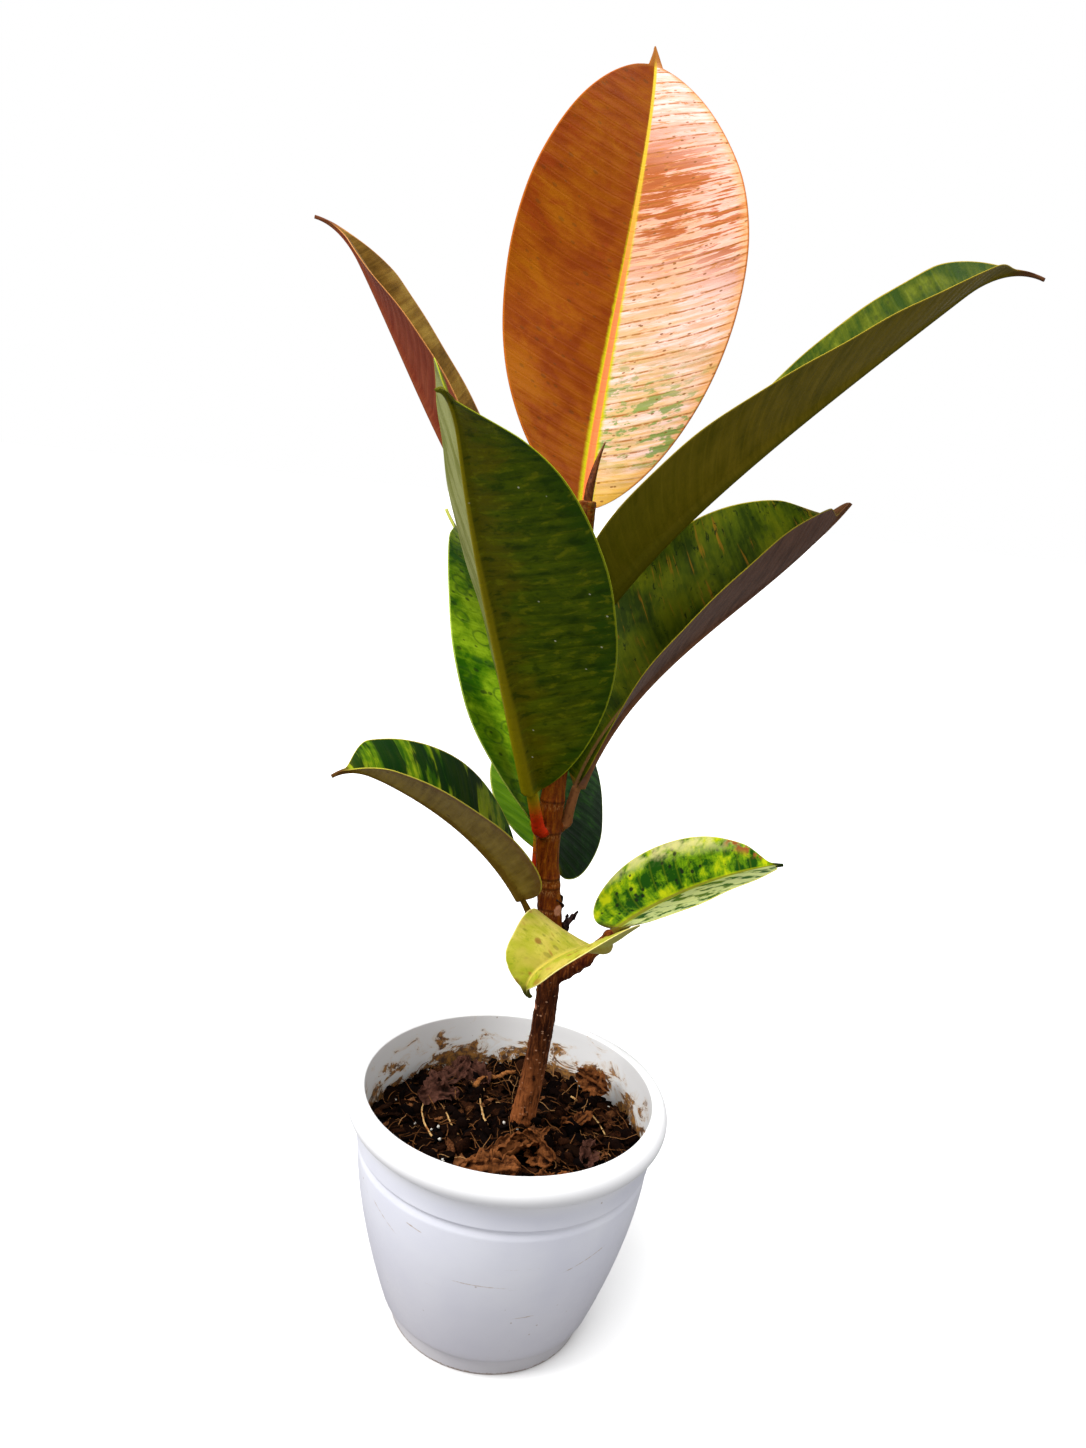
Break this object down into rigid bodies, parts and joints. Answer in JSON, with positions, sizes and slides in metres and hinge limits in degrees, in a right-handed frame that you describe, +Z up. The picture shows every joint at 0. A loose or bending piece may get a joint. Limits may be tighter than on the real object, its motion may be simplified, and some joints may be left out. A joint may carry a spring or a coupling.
{
  "type": "potted rubber plant",
  "caption": "Young upright rubber plant with broad variegated leaves on a single stem, growing in a small round white plastic nursery pot.",
  "frame": {"origin": "middle of the pot's flat base, on the surface it stands on", "axes": "+Z up along the pot's axis and the stem; the front, where the drooping pale leaf hangs, faces -Y; the long upper leaf reaches toward +X"},
  "size_m": [0.2118, 0.1901, 0.4173],
  "materials": {
    "pot_plastic": "satin white with scuffs and soil stains",
    "soil": "rough, crumbly and dark",
    "bark": "rough brown bark, redder and smoother toward the top",
    "leaf_new": "glossy, pink and cream with orange brown on one half",
    "leaf_green": "satin, marbled green with pale edges",
    "leaf_pale": "satin pale yellow green with brown specks",
    "bud": "satin dark red",
    "dry_leaf": "matt, dry and wrinkled",
    "straw": "matt pale straw and root"
  },
  "bodies": {
    "root": {"pot": "pot_plastic", "soil": "soil", "stem": "bark", "leaf_top": "leaf_new", "leaf_long_right": "leaf_green", "leaf_mid_right": "leaf_green", "leaf_front": "leaf_green", "leaf_upper_left": "leaf_green", "leaf_mid_left": "leaf_green", "leaf_back": "leaf_green", "leaf_low_left": "leaf_green", "leaf_low_right": "leaf_green", "leaf_pale_drooping": "leaf_pale", "terminal_bud": "bud", "dry_stipule_1": "dry_leaf", "dry_stipule_2": "dry_leaf", "dead_leaf_curled": "dry_leaf", "dead_leaf_chip_right": "dry_leaf", "dead_leaf_chip_front": "dry_leaf", "dead_leaf_flat": "dry_leaf", "straw_left": "straw", "straw_mid_left": "straw", "straw_near_stem": "straw", "straw_right": "straw", "root_thick": "straw", "root_wiry": "straw"}
  },
  "joints": []
}
